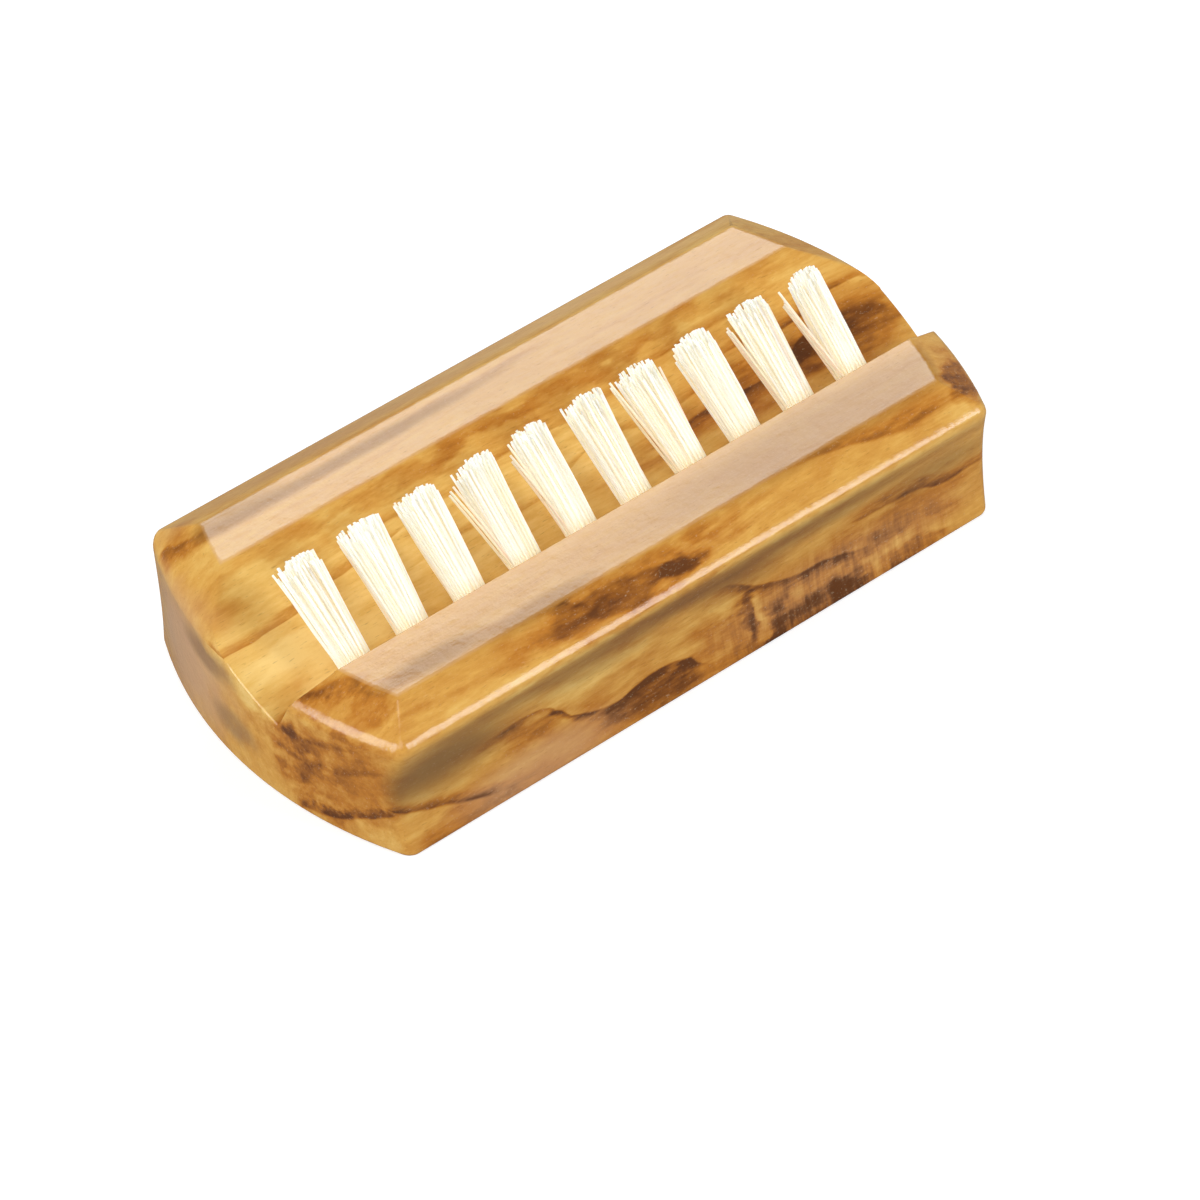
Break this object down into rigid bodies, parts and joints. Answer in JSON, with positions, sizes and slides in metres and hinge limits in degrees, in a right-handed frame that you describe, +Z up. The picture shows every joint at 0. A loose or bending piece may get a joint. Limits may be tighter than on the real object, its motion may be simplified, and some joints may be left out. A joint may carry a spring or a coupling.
{
  "type": "nail brush",
  "caption": "Small wooden nail brush with rounded ends, hollowed sides and a row of bristle tufts slanting out of a groove.",
  "frame": {"origin": "centre of the flat underside, on the surface that the brush lies on", "axes": "+X along the body and its groove, +Y across it from the steep groove wall to the shallow one, the way the bristles lean, +Z up"},
  "size_m": [0.065, 0.0318, 0.0181],
  "materials": {
    "wood": "oiled olive wood, smooth satin, yellow gold with amber and dark brown streaks along the length",
    "bristle": "natural ivory bristle, slightly translucent, with unevenly cut tips",
    "anchor_wire": "plain drawn flat wire"
  },
  "bodies": {
    "root": {"body": "wood", "tuft_01": "bristle", "tuft_02": "bristle", "tuft_03": "bristle", "tuft_04": "bristle", "tuft_05": "bristle", "tuft_06": "bristle", "tuft_07": "bristle", "tuft_08": "bristle", "tuft_09": "bristle", "tuft_10": "bristle", "anchor_01": "anchor_wire", "anchor_02": "anchor_wire", "anchor_03": "anchor_wire", "anchor_04": "anchor_wire", "anchor_05": "anchor_wire", "anchor_06": "anchor_wire", "anchor_07": "anchor_wire", "anchor_08": "anchor_wire", "anchor_09": "anchor_wire", "anchor_10": "anchor_wire"}
  },
  "joints": []
}
